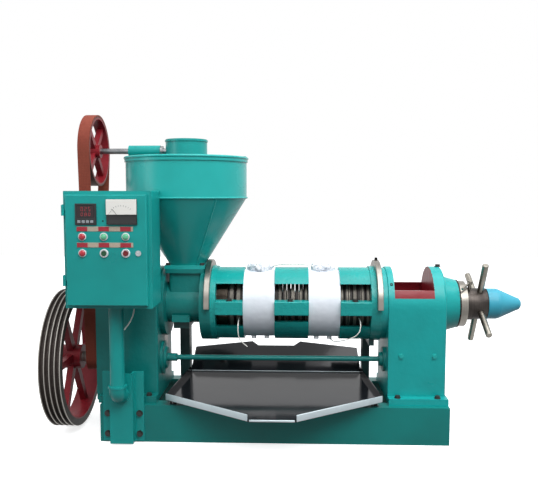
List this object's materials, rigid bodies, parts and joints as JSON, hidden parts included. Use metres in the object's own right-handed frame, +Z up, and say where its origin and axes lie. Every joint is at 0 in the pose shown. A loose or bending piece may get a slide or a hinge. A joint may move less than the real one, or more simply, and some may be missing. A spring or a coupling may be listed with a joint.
{
  "type": "screw oil press",
  "caption": "Screw oil press on a channel frame: belt-driven gearbox, stirred hopper, heated press cage, adjustable cake outlet, oil tray and control box.",
  "frame": {"origin": "centre of the base frame's underside, midway between its four anchor holes", "axes": "+X along the press screw from the gearbox to the cake end, +Y away from the operator, +Z up"},
  "size_m": [1.7933, 0.6414, 1.2243],
  "materials": {
    "teal_paint": "gloss enamel over cast iron and sheet",
    "red_paint": "gloss enamel on cast iron",
    "belt_rubber": "rubberised canvas, matt",
    "polished_steel": "turned and polished",
    "hardened_iron": "machined",
    "bearing_steel": "ground",
    "dark_nut_steel": "turned, oiled",
    "black_steel": "black oxide",
    "tray_steel": "rolled sheet, oiled",
    "heater_jacket": "bright foil jacket",
    "bright_screw": "bright plated",
    "blue_cap": "moulded",
    "instrument_black": "moulded",
    "lamp_red": "moulded lens",
    "button_green": "moulded",
    "button_red": "moulded",
    "white_lead": "silicone sleeve"
  },
  "bodies": {
    "root": {"frame_front_rail": "teal_paint", "frame_rear_rail": "teal_paint", "frame_cross_members": "teal_paint", "gearbox_housing": "teal_paint", "gearbox_covers": "teal_paint", "feeder_bridge": "teal_paint", "bevel_gear_cover": "teal_paint", "hopper": "teal_paint", "feed_chamber": "teal_paint", "cage_upper_half": "teal_paint", "cage_lower_half": "teal_paint", "cage_legs": "teal_paint", "stay_rod": "teal_paint", "support_housing": "teal_paint", "control_box": "teal_paint", "box_post": "teal_paint", "post_elbow": "teal_paint", "post_bracket": "teal_paint", "flat_belt": "belt_rubber", "clamp_ring_left": "polished_steel", "clamp_ring_right": "polished_steel", "lock_ring": "polished_steel", "press_rings": "polished_steel", "press_bars": "polished_steel", "gearbox_bearings": "bearing_steel", "ring_cover": "black_steel", "machine_bolts": "black_steel", "flange_bolts": "black_steel", "oil_tray": "tray_steel", "heater_band_left": "heater_jacket", "heater_band_right": "heater_jacket", "band_fittings": "bright_screw", "door_hinges": "bright_screw", "link_lead": "white_lead", "box_lead": "white_lead", "probe_lead": "white_lead", "sensor_lead": "white_lead"},
    "input": {"input_shaft": "polished_steel", "drive_pulley": "red_paint", "small_belt_pulley": "red_paint"},
    "layshaft": {"layshaft": "hardened_iron", "layshaft_gear": "hardened_iron"},
    "screw": {"screw_shaft": "polished_steel", "screw_worms": "hardened_iron", "screw_gear": "hardened_iron"},
    "feeder": {"feeder_shaft": "polished_steel", "feeder_pulley": "red_paint"},
    "stirrer": {"stirrer": "polished_steel"},
    "adjuster": {"adjusting_nut": "dark_nut_steel", "adjusting_handles": "polished_steel"},
    "sleeve": {"thrust_sleeve": "polished_steel", "sleeve_cap": "blue_cap"},
    "lever": {"lock_lever": "dark_nut_steel"},
    "door": {"control_door": "teal_paint", "temperature_controller": "instrument_black", "ammeter": "instrument_black", "door_lamps": "lamp_red"},
    "door_lock": {"door_lock": "bright_screw"},
    "start_button": {"start_button": "button_green"},
    "stop_button": {"stop_button": "button_red"}
  },
  "joints": [
    {"name": "input_spin", "type": "hinge", "parent": "root", "child": "input", "pos_m": [0, -0.045, 0.28241], "axis": [1, 0, 0], "continuous": true},
    {"name": "layshaft_spin", "type": "hinge", "parent": "root", "child": "layshaft", "pos_m": [0, 0.03, 0.34703], "axis": [1, 0, 0], "continuous": true},
    {"name": "screw_spin", "type": "hinge", "parent": "root", "child": "screw", "pos_m": [0, 0, 0.494], "axis": [1, 0, 0], "continuous": true},
    {"name": "feeder_spin", "type": "hinge", "parent": "root", "child": "feeder", "pos_m": [0, 0, 1.085], "axis": [1, 0, 0], "continuous": true},
    {"name": "stirrer_spin", "type": "hinge", "parent": "root", "child": "stirrer", "pos_m": [-0.34403, 0, 0.8], "axis": [0, 0, 1], "continuous": true},
    {"name": "adjuster_turn", "type": "hinge", "parent": "root", "child": "adjuster", "pos_m": [0.776, 0, 0.494], "axis": [1, 0, 0], "range_deg": [0, 360]},
    {"name": "sleeve_slide", "type": "slide", "parent": "root", "child": "sleeve", "axis": [1, 0, 0], "range_m": [0, 0.004]},
    {"name": "lock_lever_turn", "type": "hinge", "parent": "adjuster", "child": "lever", "pos_m": [0.7475, 0, 0.494], "axis": [0, -0.4384, 0.8988], "range_deg": [0, 75]},
    {"name": "door_swing", "type": "hinge", "parent": "root", "child": "door", "pos_m": [-0.7025, -0.3825, 0.746], "axis": [0, 0, -1], "range_deg": [0, 110]},
    {"name": "door_lock_turn", "type": "hinge", "parent": "door", "child": "door_lock", "pos_m": [-0.447, -0.3905, 0.7215], "axis": [0, -1, 0], "range_deg": [0, 90]},
    {"name": "start_press", "type": "slide", "parent": "door", "child": "start_button", "axis": [0, 1, 0], "range_m": [0, 0.004], "stiffness_N_per_m": 400},
    {"name": "stop_press", "type": "slide", "parent": "door", "child": "stop_button", "axis": [0, 1, 0], "range_m": [0, 0.004], "stiffness_N_per_m": 400}
  ],
  "couplings": [
    {"joint": "layshaft_spin", "follows": "input_spin", "ratio": -0.32},
    {"joint": "screw_spin", "follows": "input_spin", "ratio": 0.10667},
    {"joint": "feeder_spin", "follows": "input_spin", "ratio": 0.32836},
    {"joint": "stirrer_spin", "follows": "input_spin", "ratio": -0.32836},
    {"joint": "sleeve_slide", "follows": "adjuster_turn", "m_per_rad": 0.0006366}
  ]
}
